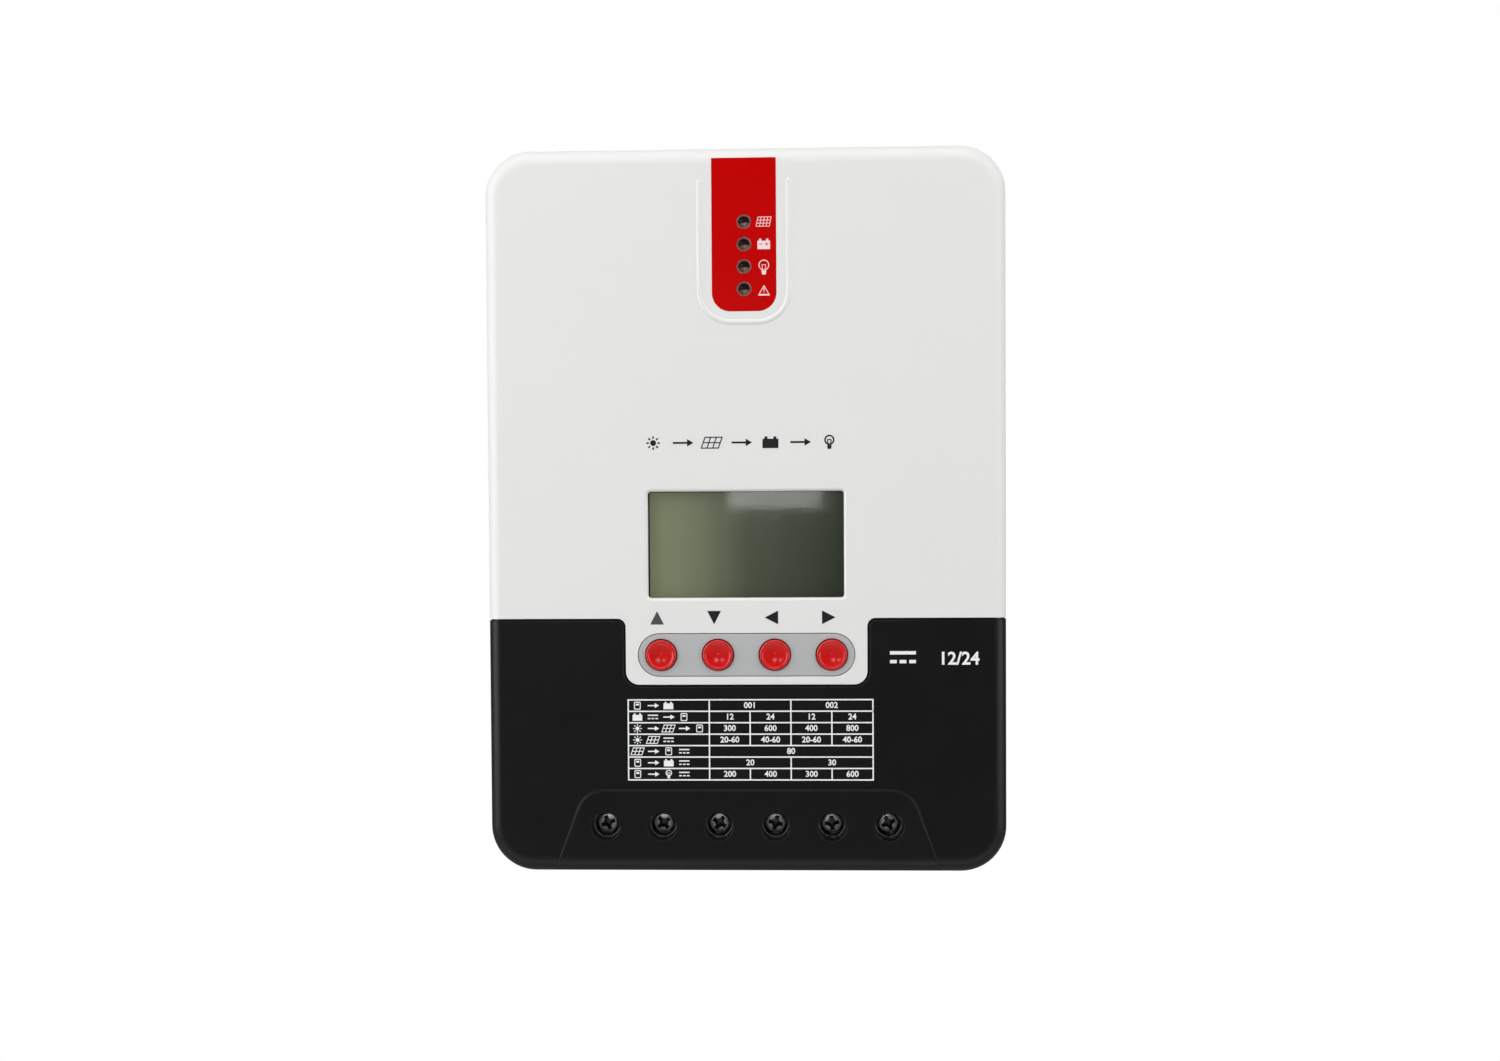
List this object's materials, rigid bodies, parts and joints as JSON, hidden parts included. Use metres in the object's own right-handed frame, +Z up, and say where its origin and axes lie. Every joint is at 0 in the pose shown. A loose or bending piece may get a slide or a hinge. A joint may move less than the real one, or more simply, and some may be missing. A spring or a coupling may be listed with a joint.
{
  "type": "charge controller",
  "caption": "Wall-mounted solar charge controller: moulded case on a finned heat sink, with display, push-button keypad, indicator strip and screw terminals for wires entering from below.",
  "frame": {"origin": "on the wall plane, at the middle of the case's width and height", "axes": "+Z up as mounted, front face towards -Y, wall behind at +Y, +X to the right seen from the front"},
  "size_m": [0.173, 0.0725, 0.238],
  "materials": {
    "white_plastic": "fine moulded satin",
    "black_plastic": "fine moulded satin",
    "red_film": "glossy printed film",
    "red_rubber": "satin moulded",
    "grey_plastic": "satin moulded",
    "led_lens": "unlit tinted lens",
    "clear_window": "clear, polished",
    "lcd_glass": "polished, unlit",
    "light_guide": "satin",
    "circuit_board": "solder mask",
    "component_plastic": "moulded",
    "flat_cable": "satin",
    "copper_winding": "enamelled wire",
    "capacitor_can": "sleeved can",
    "steel": "nickel plated",
    "contact_alloy": "plated",
    "aluminium": "die cast, fine blasted"
  },
  "bodies": {
    "case": {"upper_cover": "white_plastic", "lower_cover": "black_plastic", "heat_sink": "aluminium", "cover_screw_1": "steel", "cover_screw_2": "steel", "cover_screw_3": "steel", "cover_screw_4": "steel", "cover_screw_5": "steel", "cover_screw_6": "steel", "indicator_overlay": "red_film", "led_board": "circuit_board", "indicator_led_1": "led_lens", "indicator_led_2": "led_lens", "indicator_led_3": "led_lens", "indicator_led_4": "led_lens", "display_window": "clear_window", "lcd_panel": "lcd_glass", "lcd_frame": "light_guide", "display_board": "circuit_board", "display_cable": "flat_cable", "keypad_bezel": "grey_plastic", "switch_up": "component_plastic", "switch_down": "component_plastic", "switch_left": "component_plastic", "switch_right": "component_plastic", "terminal_housing": "black_plastic", "terminal_contact_1": "contact_alloy", "terminal_contact_2": "contact_alloy", "terminal_contact_3": "contact_alloy", "terminal_contact_4": "contact_alloy", "terminal_contact_5": "contact_alloy", "terminal_contact_6": "contact_alloy", "main_board": "circuit_board", "data_port": "black_plastic", "sensor_port": "black_plastic", "power_inductor": "copper_winding", "bulk_capacitor_1": "capacitor_can", "bulk_capacitor_2": "capacitor_can", "power_transistor_1": "component_plastic", "power_transistor_2": "component_plastic"},
    "button_up": {"button_up": "red_rubber"},
    "plunger_up": {"plunger_up": "component_plastic"},
    "button_down": {"button_down": "red_rubber"},
    "plunger_down": {"plunger_down": "component_plastic"},
    "button_left": {"button_left": "red_rubber"},
    "plunger_left": {"plunger_left": "component_plastic"},
    "button_right": {"button_right": "red_rubber"},
    "plunger_right": {"plunger_right": "component_plastic"},
    "terminal_screw_1": {"terminal_screw_1": "steel"},
    "terminal_cage_1": {"terminal_cage_1": "steel"},
    "terminal_screw_2": {"terminal_screw_2": "steel"},
    "terminal_cage_2": {"terminal_cage_2": "steel"},
    "terminal_screw_3": {"terminal_screw_3": "steel"},
    "terminal_cage_3": {"terminal_cage_3": "steel"},
    "terminal_screw_4": {"terminal_screw_4": "steel"},
    "terminal_cage_4": {"terminal_cage_4": "steel"},
    "terminal_screw_5": {"terminal_screw_5": "steel"},
    "terminal_cage_5": {"terminal_cage_5": "steel"},
    "terminal_screw_6": {"terminal_screw_6": "steel"},
    "terminal_cage_6": {"terminal_cage_6": "steel"}
  },
  "joints": [
    {"name": "button_up_press", "type": "slide", "parent": "case", "child": "button_up", "axis": [0, 1, 0], "range_m": [0, 0.0005]},
    {"name": "plunger_up_press", "type": "slide", "parent": "case", "child": "plunger_up", "axis": [0, 1, 0], "range_m": [0, 0.0005]},
    {"name": "button_down_press", "type": "slide", "parent": "case", "child": "button_down", "axis": [0, 1, 0], "range_m": [0, 0.0005]},
    {"name": "plunger_down_press", "type": "slide", "parent": "case", "child": "plunger_down", "axis": [0, 1, 0], "range_m": [0, 0.0005]},
    {"name": "button_left_press", "type": "slide", "parent": "case", "child": "button_left", "axis": [0, 1, 0], "range_m": [0, 0.0005]},
    {"name": "plunger_left_press", "type": "slide", "parent": "case", "child": "plunger_left", "axis": [0, 1, 0], "range_m": [0, 0.0005]},
    {"name": "button_right_press", "type": "slide", "parent": "case", "child": "button_right", "axis": [0, 1, 0], "range_m": [0, 0.0005]},
    {"name": "plunger_right_press", "type": "slide", "parent": "case", "child": "plunger_right", "axis": [0, 1, 0], "range_m": [0, 0.0005]},
    {"name": "terminal_screw_1_turn", "type": "hinge", "parent": "case", "child": "terminal_screw_1", "pos_m": [-0.04643, -0.0672, -0.10306], "axis": [0, 1, 0], "range_deg": [0, 1800]},
    {"name": "terminal_cage_1_rise", "type": "slide", "parent": "case", "child": "terminal_cage_1", "axis": [0, -1, 0], "range_m": [0, 0.004]},
    {"name": "terminal_screw_2_turn", "type": "hinge", "parent": "case", "child": "terminal_screw_2", "pos_m": [-0.02786, -0.0672, -0.10306], "axis": [0, 1, 0], "range_deg": [0, 1800]},
    {"name": "terminal_cage_2_rise", "type": "slide", "parent": "case", "child": "terminal_cage_2", "axis": [0, -1, 0], "range_m": [0, 0.004]},
    {"name": "terminal_screw_3_turn", "type": "hinge", "parent": "case", "child": "terminal_screw_3", "pos_m": [-0.00928, -0.0672, -0.10306], "axis": [0, 1, 0], "range_deg": [0, 1800]},
    {"name": "terminal_cage_3_rise", "type": "slide", "parent": "case", "child": "terminal_cage_3", "axis": [0, -1, 0], "range_m": [0, 0.004]},
    {"name": "terminal_screw_4_turn", "type": "hinge", "parent": "case", "child": "terminal_screw_4", "pos_m": [0.00928, -0.0672, -0.10306], "axis": [0, 1, 0], "range_deg": [0, 1800]},
    {"name": "terminal_cage_4_rise", "type": "slide", "parent": "case", "child": "terminal_cage_4", "axis": [0, -1, 0], "range_m": [0, 0.004]},
    {"name": "terminal_screw_5_turn", "type": "hinge", "parent": "case", "child": "terminal_screw_5", "pos_m": [0.02786, -0.0672, -0.10306], "axis": [0, 1, 0], "range_deg": [0, 1800]},
    {"name": "terminal_cage_5_rise", "type": "slide", "parent": "case", "child": "terminal_cage_5", "axis": [0, -1, 0], "range_m": [0, 0.004]},
    {"name": "terminal_screw_6_turn", "type": "hinge", "parent": "case", "child": "terminal_screw_6", "pos_m": [0.04643, -0.0672, -0.10306], "axis": [0, 1, 0], "range_deg": [0, 1800]},
    {"name": "terminal_cage_6_rise", "type": "slide", "parent": "case", "child": "terminal_cage_6", "axis": [0, -1, 0], "range_m": [0, 0.004]}
  ],
  "couplings": [
    {"joint": "plunger_up_press", "follows": "button_up_press", "ratio": 1},
    {"joint": "plunger_down_press", "follows": "button_down_press", "ratio": 1},
    {"joint": "plunger_left_press", "follows": "button_left_press", "ratio": 1},
    {"joint": "plunger_right_press", "follows": "button_right_press", "ratio": 1},
    {"joint": "terminal_screw_1_turn", "follows": "terminal_cage_1_rise", "rad_per_m": 7854},
    {"joint": "terminal_screw_2_turn", "follows": "terminal_cage_2_rise", "rad_per_m": 7854},
    {"joint": "terminal_screw_3_turn", "follows": "terminal_cage_3_rise", "rad_per_m": 7854},
    {"joint": "terminal_screw_4_turn", "follows": "terminal_cage_4_rise", "rad_per_m": 7854},
    {"joint": "terminal_screw_5_turn", "follows": "terminal_cage_5_rise", "rad_per_m": 7854},
    {"joint": "terminal_screw_6_turn", "follows": "terminal_cage_6_rise", "rad_per_m": 7854}
  ]
}
